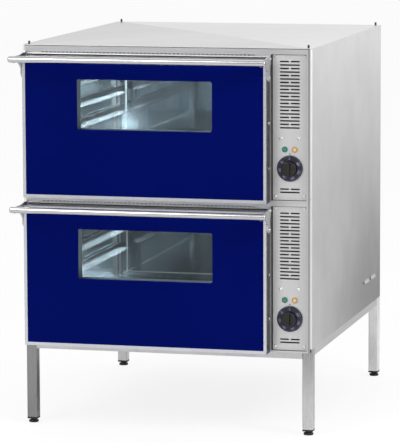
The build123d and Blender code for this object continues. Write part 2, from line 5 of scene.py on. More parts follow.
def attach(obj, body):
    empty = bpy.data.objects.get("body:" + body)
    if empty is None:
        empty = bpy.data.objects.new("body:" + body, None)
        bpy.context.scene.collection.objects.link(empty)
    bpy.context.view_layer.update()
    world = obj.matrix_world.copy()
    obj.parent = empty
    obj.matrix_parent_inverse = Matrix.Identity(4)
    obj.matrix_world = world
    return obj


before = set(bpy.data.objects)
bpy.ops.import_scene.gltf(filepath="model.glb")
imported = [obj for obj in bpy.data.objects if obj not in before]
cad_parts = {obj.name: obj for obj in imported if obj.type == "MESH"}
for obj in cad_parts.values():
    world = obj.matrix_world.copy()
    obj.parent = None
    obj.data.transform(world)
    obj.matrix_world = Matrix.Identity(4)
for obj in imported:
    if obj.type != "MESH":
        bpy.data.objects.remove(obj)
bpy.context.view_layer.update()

# ------------------------------------------------------------------ camera
# perspective solved for the photograph's viewing angle, row frame in metres
CAM = (2.22200, -8.65299, 1.72799)
YAW, PITCH, ROLL = 0.253054, 0.132355, -0.003795
fwd = Vector((-math.sin(YAW) * math.cos(PITCH), math.cos(YAW) * math.cos(PITCH), -math.sin(PITCH)))
right = Vector((math.cos(YAW), math.sin(YAW), 0.0))
up = right.cross(fwd)
r2 = right * math.cos(ROLL) + up * math.sin(ROLL)
u2 = up * math.cos(ROLL) - right * math.sin(ROLL)
cam_data = bpy.data.cameras.new("camera")
cam_data.lens = 3048.336 / 444.0 * 36.0
cam_data.sensor_width = 36.0
cam_data.clip_end = 200.0
cam = bpy.data.objects.new("camera", cam_data)
bpy.context.scene.collection.objects.link(cam)
m = Matrix((r2, u2, -fwd)).transposed().to_4x4()
m.translation = Vector(CAM)
cam.matrix_world = m
bpy.context.scene.camera = cam

# ------------------------------------------------------------------ helpers
L, F = -0.4205, -0.436
DECKS = {"lower": 0.247, "upper": 0.671}
PX = L + 0.775            # centre of the control column
PLATE = F + 0.006
KZ, LZ = 0.084, 0.137


def node(nt, kind, **kw):
    n = nt.nodes.new(kind)
    for k, v in kw.items():
        setattr(n, k, v)
    return n


def new_mat(name):
    m = bpy.data.materials.new(name)
    m.use_nodes = True
    nt = m.node_tree
    b = nt.nodes["Principled BSDF"]
    return m, nt, b


def ramp_range(nt, src, lo, hi, a=0.0, b=1.0):
    r = node(nt, "ShaderNodeMapRange")
    r.inputs["From Min"].default_value = a
    r.inputs["From Max"].default_value = b
    r.inputs["To Min"].default_value = lo
    r.inputs["To Max"].default_value = hi
    nt.links.new(src, r.inputs["Value"])
    return r.outputs["Result"]


def noise(nt, scale, detail=4.0, rough=0.6, vec_scale=(1, 1, 1), rot=(0, 0, 0)):
    tc = node(nt, "ShaderNodeTexCoord")
    mp = node(nt, "ShaderNodeMapping")
    mp.inputs["Scale"].default_value = vec_scale
    mp.inputs["Rotation"].default_value = rot
    nt.links.new(tc.outputs["Object"], mp.inputs["Vector"])
    n = node(nt, "ShaderNodeTexNoise")
    n.inputs["Scale"].default_value = scale
    n.inputs["Detail"].default_value = detail
    n.inputs["Roughness"].default_value = rough
    nt.links.new(mp.outputs["Vector"], n.inputs["Vector"])
    return n.outputs["Fac"]


def math_node(nt, op, a, b=None):
    n = node(nt, "ShaderNodeMath", operation=op)
    for i, v in enumerate((a, b)):
        if v is None:
            continue
        if isinstance(v, (int, float)):
            n.inputs[i].default_value = v
        else:
            nt.links.new(v, n.inputs[i])
    return n.outputs[0]


def mix_col(nt, fac, ca, cb):
    n = node(nt, "ShaderNodeMix", data_type="RGBA")
    if isinstance(fac, (int, float)):
        n.inputs[0].default_value = fac
    else:
        nt.links.new(fac, n.inputs[0])
    for sock, c in ((n.inputs[6], ca), (n.inputs[7], cb)):
        if isinstance(c, tuple):
            sock.default_value = (*c, 1.0)
        else:
            nt.links.new(c, sock)
    return n.outputs[2]


def steel(name, along="z", light=(0.66, 0.665, 0.67), dark=(0.56, 0.565, 0.575), rough=(0.26, 0.40), bump=0.10,
          smudge=0.35, metallic=1.0, spacing=1.0):
    """Brushed stainless: fine streaks along one axis, soft cloudy handling marks over them."""
    m, nt, b = new_mat(name)
    k = {"x": 0, "y": 1, "z": 2}[along]
    fine = [900.0 * spacing] * 3
    fine[k] = 6.0
    wide = [140.0 * spacing] * 3
    wide[k] = 1.6
    f1 = noise(nt, 1.0, 3.0, 0.65, tuple(fine))
    f2 = noise(nt, 1.0, 3.0, 0.55, tuple(wide))
    f3 = noise(nt, 7.0, 4.0, 0.6)
    streak = math_node(nt, "ADD", math_node(nt, "MULTIPLY", f1, 0.5), math_node(nt, "MULTIPLY", f2, 0.5))
    streak = ramp_range(nt, streak, 0.0, 1.0, 0.30, 0.70)
    cloud = ramp_range(nt, f3, 0.0, 1.0, 0.32, 0.68)
    tone = math_node(nt, "ADD", math_node(nt, "MULTIPLY", streak, 1.0 - smudge), math_node(nt, "MULTIPLY", cloud, smudge))
    nt.links.new(mix_col(nt, tone, dark, light), b.inputs["Base Color"])
    r = math_node(nt, "ADD", math_node(nt, "MULTIPLY", f1, 0.55), math_node(nt, "MULTIPLY", f3, 0.45))
    nt.links.new(ramp_range(nt, r, rough[1], rough[0], 0.3, 0.7), b.inputs["Roughness"])
    b.inputs["Metallic"].default_value = metallic
    bp = node(nt, "ShaderNodeBump")
    bp.inputs["Strength"].default_value = bump
    bp.inputs["Distance"].default_value = 0.0006
    nt.links.new(streak, bp.inputs["Height"])
    nt.links.new(bp.outputs["Normal"], b.inputs["Normal"])
    return m


def plastic(name, light, dark, rough=(0.35, 0.5), grain=900.0, bump=0.15, spec=0.5):
    m, nt, b = new_mat(name)
    f1 = noise(nt, grain, 3.0, 0.6)
    f2 = noise(nt, 30.0, 3.0, 0.6)
    nt.links.new(mix_col(nt, ramp_range(nt, f2, 0, 1, 0.35, 0.65), dark, light), b.inputs["Base Color"])
    nt.links.new(ramp_range(nt, f1, rough[0], rough[1], 0.3, 0.7), b.inputs["Roughness"])
    b.inputs["Specular IOR Level"].default_value = spec
    bp = node(nt, "ShaderNodeBump")
    bp.inputs["Strength"].default_value = bump
    bp.inputs["Distance"].default_value = 0.0003
    nt.links.new(f1, bp.inputs["Height"])
    nt.links.new(bp.outputs["Normal"], b.inputs["Normal"])
    return m


def give(mat, *names):
    for n in names:
        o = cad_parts[n]
        if len(o.data.materials) == 0:
            o.data.materials.append(mat)
        for i in range(len(o.data.materials)):
            o.data.materials[i] = mat


def both(*stems):
    return [f"{s}_{d}" for s in stems for d in DECKS]


def add_mesh(name, verts, faces, mat, body, smooth=False):
    me = bpy.data.meshes.new(name)
    me.from_pydata([tuple(v) for v in verts], [], faces)
    me.validate()
    bm = bmesh.new()
    bm.from_mesh(me)
    bmesh.ops.recalc_face_normals(bm, faces=bm.faces)
    bm.to_mesh(me)
    bm.free()
    for p in me.polygons:
        p.use_smooth = smooth
    o = bpy.data.objects.new(name, me)
    bpy.context.scene.collection.objects.link(o)
    me.materials.append(mat)
    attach(o, body)
    return o


def prism(outline, y0, y1):
    """Closed solid of an XZ outline between two depths."""
    n = len(outline)
    v = [(x, y0, z) for x, z in outline] + [(x, y1, z) for x, z in outline]
    f = [tuple(range(n)), tuple(reversed(range(n, 2 * n)))]
    f += [(i, (i + 1) % n, n + (i + 1) % n, n + i) for i in range(n)]
    return v, f


# ------------------------------------------------------------------ materials
side = steel("side_steel", "z", (0.80, 0.80, 0.80), (0.70, 0.70, 0.70), (0.30, 0.42), 0.08, 0.5, metallic=0.85)
back_m = steel("back_steel", "z", (0.66, 0.66, 0.66), (0.56, 0.56, 0.56), (0.30, 0.42), 0.08, 0.5, metallic=0.85)
top = steel("lid_steel", "x", (0.77, 0.77, 0.77), (0.72, 0.72, 0.72), (0.30, 0.40), 0.05, metallic=0.9)
front = steel("front_steel", "x", (0.72, 0.72, 0.725), (0.56, 0.56, 0.565), (0.28, 0.40), 0.10, metallic=0.9)
plate_m = steel("plate_steel", "z", (0.78, 0.78, 0.78), (0.69, 0.69, 0.69), (0.36, 0.46), 0.06, metallic=0.85)
door_m = steel("door_steel", "x", (0.72, 0.735, 0.79), (0.62, 0.635, 0.685), (0.22, 0.34), 0.06)


def shade_by_normal(mat, axis, dark, one_side=False):
    """Painted shade: darker colour on the faces that look along one axis, or only along its positive direction."""
    nt = mat.node_tree
    b = nt.nodes["Principled BSDF"]
    old = b.inputs["Base Color"].links[0].from_socket
    geo = node(nt, "ShaderNodeNewGeometry")
    sep = node(nt, "ShaderNodeSeparateXYZ")
    nt.links.new(geo.outputs["True Normal"], sep.inputs[0])
    n_axis = math_node(nt, "MULTIPLY", sep.outputs[axis], 1.0) if one_side else math_node(nt, "ABSOLUTE", sep.outputs[axis])
    mask = math_node(nt, "GREATER_THAN", n_axis, 0.6)
    nt.links.new(mix_col(nt, mask, old, dark), b.inputs["Base Color"])


# painted shade: the doors' right-hand side faces, beside the control column, are coloured near-black
shade_by_normal(door_m, "X", (0.036, 0.034, 0.033), one_side=True)


def shade_by_place(mat, axis, a, b, col, op="GREATER_THAN"):
    """Another colour on one side of a plane: painted shade on hidden inner faces and along an edge."""
    nt = mat.node_tree
    bb = nt.nodes["Principled BSDF"]
    old = bb.inputs["Base Color"].links[0].from_socket
    tc = node(nt, "ShaderNodeTexCoord")
    sep = node(nt, "ShaderNodeSeparateXYZ")
    nt.links.new(tc.outputs["Object"], sep.inputs[0])
    mask = ramp_range(nt, sep.outputs[axis], 0.0, 1.0, a, b)
    nt.links.new(mix_col(nt, mask, old, col), bb.inputs["Base Color"])


# painted shade: the control plates are bright outside and painted dark on the hidden face
shade_by_place(plate_m, "Y", PLATE + 0.00005, PLATE + 0.00015, (0.01, 0.01, 0.01))
# painted shade: the fascia is coloured dark on its faces behind the front, so its slots read as shaded
shade_by_place(front, "Y", F + 0.0008, F + 0.0012, (0.16, 0.155, 0.15))

def paint_light_by_place(mat, fn):
    """Painted light and shade: scale a finish's colour by a smooth function of the place on the part."""
    nt = mat.node_tree
    bb = nt.nodes["Principled BSDF"]
    old = bb.inputs["Base Color"].links[0].from_socket
    tc = node(nt, "ShaderNodeTexCoord")
    sep = node(nt, "ShaderNodeSeparateXYZ")
    nt.links.new(tc.outputs["Object"], sep.inputs[0])
    k = node(nt, "ShaderNodeVectorMath", operation="SCALE")
    nt.links.new(old, k.inputs[0])
    nt.links.new(fn(nt, sep.outputs["X"], sep.outputs["Y"], sep.outputs["Z"]), k.inputs["Scale"])
    nt.links.new(k.outputs[0], bb.inputs["Base Color"])


def side_light_and_shade(nt, x, y, z):
    # painted shade: the sheet darkens towards its lower rear corner and its hidden inner face is painted dark; a random
    # cloudy tone lies over it
    down = ramp_range(nt, z, 1.0, 0.0, 0.30, 1.06)
    rear = ramp_range(nt, y, 0.30, 1.0, F + 0.02, F + 0.95)
    cloud = ramp_range(nt, noise(nt, 2.2, 3.0, 0.55), -0.06, 0.06, 0.35, 0.65)
    t = math_node(nt, "MULTIPLY", down, rear)
    outer = math_node(nt, "ADD", math_node(nt, "SUBTRACT", 1.0, math_node(nt, "MULTIPLY", t, 0.70)), cloud)
    inside = math_node(nt, "LESS_THAN", math_node(nt, "ABSOLUTE", math_node(nt, "SUBTRACT", x, L + 0.420)), 0.4189)
    inside = math_node(nt, "MULTIPLY", inside, math_node(nt, "GREATER_THAN", y, F + 0.0022))
    hood = ramp_range(nt, x, 0.0, 0.38, L + 0.8403, L + 0.8420)       # painted highlight on the louvre hoods, which stand proud
    outer = math_node(nt, "ADD", outer, hood)
    outer = math_node(nt, "ADD", outer, ramp_range(nt, y, 0.26, 0.0, F + 0.0014, F + 0.0030))     # painted highlight along the front bend
    # painted light: brighter towards the rear top; painted shade: a little darker towards the lower front
    up = math_node(nt, "SUBTRACT", 1.0, down)
    outer = math_node(nt, "ADD", outer, math_node(nt, "MULTIPLY", math_node(nt, "MULTIPLY", rear, up), 0.30))
    outer = math_node(nt, "SUBTRACT", outer, math_node(nt, "MULTIPLY", math_node(nt, "MULTIPLY", math_node(nt, "SUBTRACT", 1.0, rear), down), 0.12))
    return math_node(nt, "MULTIPLY", outer, math_node(nt, "SUBTRACT", 1.0, math_node(nt, "MULTIPLY", inside, 0.93)))


def stand_light_and_shade(nt, x, y, z):
    # painted light and shade: darker on the left and under the cabinet, brighter on the right, towards the rear and
    # towards the feet
    a = ramp_range(nt, x, 0.38, 0.52, L, L + 0.84)
    c = ramp_range(nt, y, 0.0, 0.60, F, F + 0.9)
    d = math_node(nt, "MULTIPLY", ramp_range(nt, z, 1.0, 0.0, 0.02, 0.23), ramp_range(nt, x, 0.0, 0.44, L, L + 0.84))
    return math_node(nt, "ADD", math_node(nt, "ADD", a, c), d)


paint_light_by_place(side, side_light_and_shade)
# painted shade: the back panel's inner face is coloured near-black
shade_by_place(back_m, "Y", F + 0.9812, F + 0.9808, (0.05, 0.05, 0.05))
# painted shade: a darker strip along the fascia's right edge, beside the control recess
shade_by_place(front, "X", L + 0.8272, L + 0.8280, (0.38, 0.38, 0.38))
# painted shade: the control plates darken towards their right-hand edge, beside the recess wall
paint_light_by_place(plate_m, lambda nt, x, y, z: ramp_range(nt, x, 1.02, 0.82, L + 0.735, L + 0.822))

# painted light and shade: the lid's four pressed facets get different tones, lighter on the right and at the rear, as
# light would fall on them
nt = top.node_tree
bb = nt.nodes["Principled BSDF"]
old = bb.inputs["Base Color"].links[0].from_socket
tc = node(nt, "ShaderNodeTexCoord")
sep = node(nt, "ShaderNodeSeparateXYZ")
nt.links.new(tc.outputs["Object"], sep.inputs[0])
fx = math_node(nt, "MULTIPLY", math_node(nt, "SUBTRACT", sep.outputs["X"], L + 0.420), 1.0 / 0.390)
fy = math_node(nt, "MULTIPLY", math_node(nt, "SUBTRACT", sep.outputs["Y"], F + 0.491), 1.0 / 0.461)
side_face = math_node(nt, "GREATER_THAN", math_node(nt, "ABSOLUTE", fx), math_node(nt, "ABSOLUTE", fy))
is_right = math_node(nt, "GREATER_THAN", fx, 0.0)
is_rear = math_node(nt, "GREATER_THAN", fy, 0.0)
lr_tone = math_node(nt, "ADD", ramp_range(nt, is_right, 0.90, 0.98), ramp_range(nt, fx, -0.10, 0.04, -1.0, 1.0))
fb_tone = math_node(nt, "ADD", ramp_range(nt, is_rear, 0.91, 0.97), ramp_range(nt, fy, -0.05, 0.03, -1.0, 1.0))
tone_f = math_node(nt, "ADD", math_node(nt, "MULTIPLY", side_face, lr_tone),
                   math_node(nt, "MULTIPLY", math_node(nt, "SUBTRACT", 1.0, side_face), fb_tone))
cmb = node(nt, "ShaderNodeVectorMath", operation="SCALE")
nt.links.new(old, cmb.inputs[0])
nt.links.new(tone_f, cmb.inputs["Scale"])
nt.links.new(cmb.outputs[0], bb.inputs["Base Color"])
liner_m = steel("liner_steel", "x", (0.62, 0.63, 0.64), (0.50, 0.51, 0.52), (0.22, 0.36), 0.10, metallic=0.85)
chamber_m, nt, b = new_mat("chamber_steel")
streak = noise(nt, 1.0, 3.0, 0.55, (220.0, 220.0, 2.0))
cloud = noise(nt, 6.0, 4.0, 0.6)
wave = noise(nt, 1.0, 1.0, 0.4, (2.6, 2.6, 3.4))
geo = node(nt, "ShaderNodeNewGeometry")
sepn = node(nt, "ShaderNodeSeparateXYZ")
nt.links.new(geo.outputs["True Normal"], sepn.inputs[0])
flat = math_node(nt, "GREATER_THAN", math_node(nt, "ABSOLUTE", sepn.outputs["Z"]), 0.6)
tone = math_node(nt, "ADD", math_node(nt, "MULTIPLY", ramp_range(nt, streak, 0, 1, 0.32, 0.68), 0.5), math_node(nt, "MULTIPLY", ramp_range(nt, cloud, 0, 1, 0.32, 0.68), 0.5))
# painted light: the walls are coloured lighter and bluer than the floor and roof
wall_c = mix_col(nt, tone, (0.36, 0.39, 0.42), (0.60, 0.64, 0.67))
floor_c = mix_col(nt, tone, (0.30, 0.30, 0.30), (0.46, 0.46, 0.455))
nt.links.new(mix_col(nt, flat, wall_c, floor_c), b.inputs["Base Color"])
r_wall = ramp_range(nt, tone, 0.075, 0.035)
r_floor = ramp_range(nt, tone, 0.24, 0.16)
rr = math_node(nt, "ADD", math_node(nt, "MULTIPLY", flat, r_floor), math_node(nt, "MULTIPLY", math_node(nt, "SUBTRACT", 1.0, flat), r_wall))
flank = math_node(nt, "GREATER_THAN", math_node(nt, "ABSOLUTE", sepn.outputs["X"]), 0.6)
rr = math_node(nt, "ADD", rr, math_node(nt, "MULTIPLY", flank, 0.10))
# a rougher patch in the rear left lower corner of the upper chamber; its colour is lightened below as a painted
# highlight
tcc = node(nt, "ShaderNodeTexCoord")
dist = node(nt, "ShaderNodeVectorMath", operation="DISTANCE")
dist.inputs[1].default_value = (L + 0.078, F + 0.850, DECKS["upper"] + 0.112)
nt.links.new(tcc.outputs["Object"], dist.inputs[0])
rough_glint = ramp_range(nt, dist.outputs["Value"], 1.0, 0.0, 0.006, 0.072)
rr = math_node(nt, "ADD", rr, math_node(nt, "MULTIPLY", rough_glint, 0.30))
# a duller stretch of wall between the two upper pairs of runners; its colour is also lightened below as a painted
# highlight
off = node(nt, "ShaderNodeVectorMath", operation="SUBTRACT")
off.inputs[1].default_value = (L + 0.073, F + 0.40, DECKS["upper"] + 0.252)
nt.links.new(tcc.outputs["Object"], off.inputs[0])
shrink = node(nt, "ShaderNodeVectorMath", operation="MULTIPLY")
shrink.inputs[1].default_value = (1.0, 0.13, 1.0)
nt.links.new(off.outputs[0], shrink.inputs[0])
span = node(nt, "ShaderNodeVectorMath", operation="LENGTH")
nt.links.new(shrink.outputs[0], span.inputs[0])
dull = ramp_range(nt, span.outputs["Value"], 1.0, 0.0, 0.018, 0.034)
rr = math_node(nt, "ADD", rr, math_node(nt, "MULTIPLY", dull, 0.26))
rough_glint = math_node(nt, "MAXIMUM", rough_glint, dull)
nt.links.new(rr, b.inputs["Roughness"])
old_c = b.inputs["Base Color"].links[0].from_socket
# painted light: the side walls' colour is lightened, and both rough patches get a painted highlight
nt.links.new(mix_col(nt, math_node(nt, "MULTIPLY", rough_glint, 0.9), mix_col(nt, math_node(nt, "MULTIPLY", flank, 0.5), old_c, (0.80, 0.86, 0.90)), (0.86, 0.92, 0.96)), b.inputs["Base Color"])
b.inputs["Metallic"].default_value = 0.90
bp = node(nt, "ShaderNodeBump")
bp.inputs["Strength"].default_value = 0.5
bp.inputs["Distance"].default_value = 0.0045
nt.links.new(wave, bp.inputs["Height"])
nt.links.new(bp.outputs["Normal"], b.inputs["Normal"])
rack_m = steel("rack_steel", "y", (0.82, 0.82, 0.82), (0.60, 0.61, 0.62), (0.16, 0.28), 0.08, metallic=0.75)
bead_m = steel("seam_steel", "x", (0.95, 0.95, 0.94), (0.80, 0.80, 0.79), (0.20, 0.32), 0.08, metallic=0.45)
stand_m = steel("stand_steel", "z", (0.86, 0.86, 0.865), (0.62, 0.62, 0.625), (0.20, 0.34), 0.12, 0.5)
rail_m = steel("rail_steel", "y", (0.66, 0.66, 0.665), (0.52, 0.52, 0.525), (0.24, 0.36), 0.10)
chrome = steel("handle_chrome", "x", (0.62, 0.62, 0.63), (0.56, 0.56, 0.57), (0.08, 0.16), 0.02, 0.5)
bracket_m = steel("bracket_chrome", "x", (0.72, 0.72, 0.73), (0.62, 0.62, 0.63), (0.14, 0.24), 0.03, 0.5)
bolt_m = steel("fixing_steel", "x", (0.90, 0.90, 0.90), (0.78, 0.78, 0.79), (0.10, 0.20), 0.04)
stud_m = steel("stud_steel", "x", (0.12, 0.12, 0.12), (0.07, 0.07, 0.07), (0.25, 0.4), 0.04)
# painted shade: the hidden inner sheets are coloured near-black
inner_m = steel("inner_steel", "y", (0.10, 0.10, 0.10), (0.05, 0.05, 0.05), (0.45, 0.60), 0.10, metallic=0.8)

# painted shade: the racks' faces that look sideways are darker
shade_by_normal(rack_m, "X", (0.26, 0.26, 0.265))
# painted shade: the brackets' right-hand faces are darker
shade_by_normal(bracket_m, "X", (0.30, 0.30, 0.305), one_side=True)
paint_light_by_place(stand_m, stand_light_and_shade)

# navy enamel with a very fine orange-peel surface
navy, nt, b = new_mat("navy_enamel")
peel = noise(nt, 260.0, 3.0, 0.5)
cloud = noise(nt, 3.0, 3.0, 0.5)
nt.links.new(mix_col(nt, ramp_range(nt, cloud, 0, 1, 0.35, 0.65), (0.0000, 0.0032, 0.098), (0.0000, 0.0038, 0.106)), b.inputs["Base Color"])
nt.links.new(ramp_range(nt, cloud, 0.42, 0.50, 0.35, 0.65), b.inputs["Roughness"])
b.inputs["Specular IOR Level"].default_value = 0.02
bp = node(nt, "ShaderNodeBump")
bp.inputs["Strength"].default_value = 0.04
bp.inputs["Distance"].default_value = 0.0003
nt.links.new(peel, bp.inputs["Height"])
nt.links.new(bp.outputs["Normal"], b.inputs["Normal"])

# oven glass: clear to lamps, mirror-like by its angle, with faint wiped streaks
glass, nt, b = new_mat("oven_glass")
nt.nodes.remove(b)
out = nt.nodes["Material Output"]
tr = node(nt, "ShaderNodeBsdfTransparent")
gl = node(nt, "ShaderNodeBsdfGlossy")
wipe = noise(nt, 1.0, 3.0, 0.6, (40.0, 40.0, 8.0), (0.0, 0.5, 0.0))
nt.links.new(mix_col(nt, ramp_range(nt, wipe, 0, 1, 0.3, 0.7), (0.90, 0.94, 0.95), (0.96, 0.985, 0.99)), tr.inputs["Color"])
nt.links.new(ramp_range(nt, wipe, 0.01, 0.03, 0.3, 0.7), gl.inputs["Roughness"])
fr = node(nt, "ShaderNodeFresnel")
fr.inputs["IOR"].default_value = 1.16
mx = node(nt, "ShaderNodeMixShader")
nt.links.new(fr.outputs[0], mx.inputs[0])
nt.links.new(tr.outputs[0], mx.inputs[1])
nt.links.new(gl.outputs[0], mx.inputs[2])
nt.links.new(mx.outputs[0], out.inputs["Surface"])

black = plastic("foot_black", (0.020, 0.020, 0.021), (0.010, 0.010, 0.011), (0.40, 0.6))
wool = plastic("mineral_wool", (0.62, 0.54, 0.34), (0.40, 0.33, 0.18), (0.85, 1.0), 300.0, 0.9, 0.1)
# black for the door gaskets, and for the painted shadow strips round the control plates
gasket_and_shadow = plastic("gasket_and_shadow_black", (0.030, 0.030, 0.032), (0.015, 0.015, 0.016), (0.5, 0.7), 500.0, 0.4)
phen = plastic("thermostat_body", (0.60, 0.58, 0.52), (0.50, 0.48, 0.42), (0.4, 0.6))
sheath = steel("element_sheath", "y", (0.30, 0.28, 0.27), (0.16, 0.15, 0.15), (0.35, 0.55), 0.10)
mark_m = plastic("dial_marks", (0.44, 0.44, 0.62), (0.34, 0.34, 0.52), (0.4, 0.5), 600.0, 0.05)
ink = plastic("index_ink", (0.015, 0.015, 0.02), (0.008, 0.008, 0.01), (0.4, 0.5), 600.0, 0.05)


def knob_material():
    """Moulded dial: navy-black skirt, blacker grip, told apart by the distance from the shaft."""
    mats = {}
    for d, base in DECKS.items():
        m, nt, b = new_mat(f"dial_{d}")
        tc = node(nt, "ShaderNodeTexCoord")
        sub = node(nt, "ShaderNodeVectorMath", operation="SUBTRACT")
        sub.inputs[1].default_value = (PX, 0.0, base + KZ)
        nt.links.new(tc.outputs["Object"], sub.inputs[0])
        mul = node(nt, "ShaderNodeVectorMath", operation="MULTIPLY")
        mul.inputs[1].default_value = (1.0, 0.0, 1.0)
        nt.links.new(sub.outputs[0], mul.inputs[0])
        ln = node(nt, "ShaderNodeVectorMath", operation="LENGTH")
        nt.links.new(mul.outputs[0], ln.inputs[0])
        mask = ramp_range(nt, ln.outputs["Value"], 0.0, 1.0, 0.0205, 0.0235)
        grain = noise(nt, 900.0, 3.0, 0.6)
        tone = noise(nt, 60.0, 3.0, 0.6)
        skirt = mix_col(nt, ramp_range(nt, tone, 0, 1, 0.35, 0.65), (0.0045, 0.0060, 0.020), (0.0085, 0.0110, 0.034))
        grip = mix_col(nt, ramp_range(nt, tone, 0, 1, 0.35, 0.65), (0.004, 0.0035, 0.0035), (0.011, 0.008, 0.006))
        nt.links.new(mix_col(nt, mask, grip, skirt), b.inputs["Base Color"])
        nt.links.new(ramp_range(nt, grain, 0.28, 0.42, 0.3, 0.7), b.inputs["Roughness"])
        bp = node(nt, "ShaderNodeBump")
        bp.inputs["Strength"].default_value = 0.12
        bp.inputs["Distance"].default_value = 0.0002
        nt.links.new(grain, bp.inputs["Height"])
        nt.links.new(bp.outputs["Normal"], b.inputs["Normal"])
        mats[d] = m
    return mats


def lens(name, rim, core, sgn):
    """Lamp lens: brighter at its middle, with moulded rings."""
    m, nt, b = new_mat(name)
    tc = node(nt, "ShaderNodeTexCoord")
    sep = node(nt, "ShaderNodeSeparateXYZ")
    nt.links.new(tc.outputs["Object"], sep.inputs[0])
    dx = math_node(nt, "SUBTRACT", sep.outputs["X"], PX + sgn * 0.0143)
    # both decks' lamps share the node: the height repeats every deck
    dz0 = math_node(nt, "SUBTRACT", sep.outputs["Z"], DECKS["lower"] + LZ - 0.212)
    dz = math_node(nt, "SUBTRACT", math_node(nt, "MODULO", dz0, 0.424), 0.212)
    r = math_node(nt, "SQRT", math_node(nt, "ADD", math_node(nt, "MULTIPLY", dx, dx), math_node(nt, "MULTIPLY", dz, dz)))
    ring = math_node(nt, "SINE", math_node(nt, "MULTIPLY", r, 4200.0))
    body = ramp_range(nt, r, 0.0, 1.0, 0.0, 0.0078)
    col = mix_col(nt, body, core, rim)
    nt.links.new(col, b.inputs["Base Color"])
    nt.links.new(ramp_range(nt, ring, 0.12, 0.22, -1.0, 1.0), b.inputs["Roughness"])
    b.inputs["Coat Weight"].default_value = 0.5
    b.inputs["Coat Roughness"].default_value = 0.08
    bp = node(nt, "ShaderNodeBump")
    bp.inputs["Strength"].default_value = 0.25
    bp.inputs["Distance"].default_value = 0.0003
    nt.links.new(ring, bp.inputs["Height"])
    nt.links.new(bp.outputs["Normal"], b.inputs["Normal"])
    return m


dials = knob_material()
green_m = lens("green_lens", (0.004, 0.105, 0.075), (0.03, 0.34, 0.24), -1)
amber_m = lens("amber_lens", (0.40, 0.19, 0.035), (0.86, 0.66, 0.36), 1)

give(side, "side_panel_left", "side_panel_right")
give(back_m, "back_panel")
give(top, "top_panel")
give(front, "fascia_lower", "fascia_upper")
give(plate_m, "control_plate_lower", "control_plate_upper")
give(inner_m, "base_panel", "mid_shelf", "partition_panel")
give(chamber_m, *both("chamber"))
give(rack_m, *both("tray_racks"))
give(door_m, *both("door_frame"))
give(chrome, *both("handle_bar"))
give(bracket_m, *both("handle_brackets"))
give(navy, *both("door_skin"))
give(glass, *both("door_glass_outer", "door_glass_inner"))
give(chrome, *both("handle_bar", "handle_brackets"))
give(bolt_m, *both("door_side_screws", "hinge_clevis"), "hinge_arms", "corner_screws", "centre_screws")
give(stud_m, "stacking_studs")
give(stand_m, "leg_fl", "leg_fr", "leg_bl", "leg_br")
give(rail_m, "stand_side_rails", "stand_cross_rails")
give(black, "leg_inserts", "foot_fl", "foot_fr", "foot_bl", "foot_br", "cable_gland")
give(wool, *both("insulation"))
give(gasket_and_shadow, "door_gaskets")
give(phen, "thermostats", "terminal_block")
give(sheath, "heating_elements", "temperature_probes")
give(green_m, "lamps_green")
give(amber_m, "lamps_amber")
for d in DECKS:
    give(dials[d], f"knob_{d}")

# ------------------------------------------------------------------ dial marks
DIAL_Y = F + 0.0         # front of the dial skirt
for d, base in DECKS.items():
    cx, cz = PX, base + KZ
    verts, faces = [], []

    def bar(ang, r0, r1, w, depth=0.00035):
        c, s = math.cos(ang), math.sin(ang)
        pts = [(r0, -w / 2), (r1, -w / 2), (r1, w / 2), (r0, w / 2)]
        out = [(cx + p * s + q * c, cz + p * c - q * s) for p, q in pts]
        v, f = prism(out, DIAL_Y - depth, DIAL_Y + 0.0002)
        n = len(verts)
        verts.extend(v)
        faces.extend(tuple(i + n for i in t) for t in f)

    for i in range(31):
        a = math.radians(-300.0 * i / 30.0)
        big = i % 5 == 0
        bar(a, 0.0318 if big else 0.0328, 0.0345, 0.0010 if big else 0.0005)
    add_mesh(f"dial_ticks_{d}", verts, faces, mark_m, f"knob_{d}")
    for i in range(0, 7):
        a = math.radians(-50.0 * i)
        cu = bpy.data.curves.new(f"dial_number_{d}_{i}", "FONT")
        cu.body = str(50 * i)
        cu.size = 0.0078
        cu.align_x = "CENTER"
        cu.align_y = "CENTER"
        cu.extrude = 0.00018
        cu.resolution_u = 3
        tmp = bpy.data.objects.new("tmp_text", cu)
        bpy.context.scene.collection.objects.link(tmp)
        bpy.context.view_layer.update()
        me = bpy.data.meshes.new_from_object(tmp)
        bpy.data.objects.remove(tmp)
        bpy.data.curves.remove(cu)
        r = 0.0272
        mat = Matrix.Translation((cx + r * math.sin(a), DIAL_Y - 0.00017, cz + r * math.cos(a))) @ Matrix.Rotation(a, 4, "Y") @ Matrix.Rotation(math.pi / 2, 4, "X")
        me.transform(mat)
        o = bpy.data.objects.new(f"dial_number_{d}_{i}", me)
        bpy.context.scene.collection.objects.link(o)
        me.materials.clear()
        me.materials.append(mark_m)
        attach(o, f"knob_{d}")
    # index triangle printed on the plate over the dial
    tri = [(PX - 0.0022, base + 0.1262), (PX + 0.0022, base + 0.1262), (PX, base + 0.1218)]
    v, f = prism(tri, PLATE - 0.0003, PLATE + 0.0002)
    add_mesh(f"index_mark_{d}", v, f, ink, "cabinet")

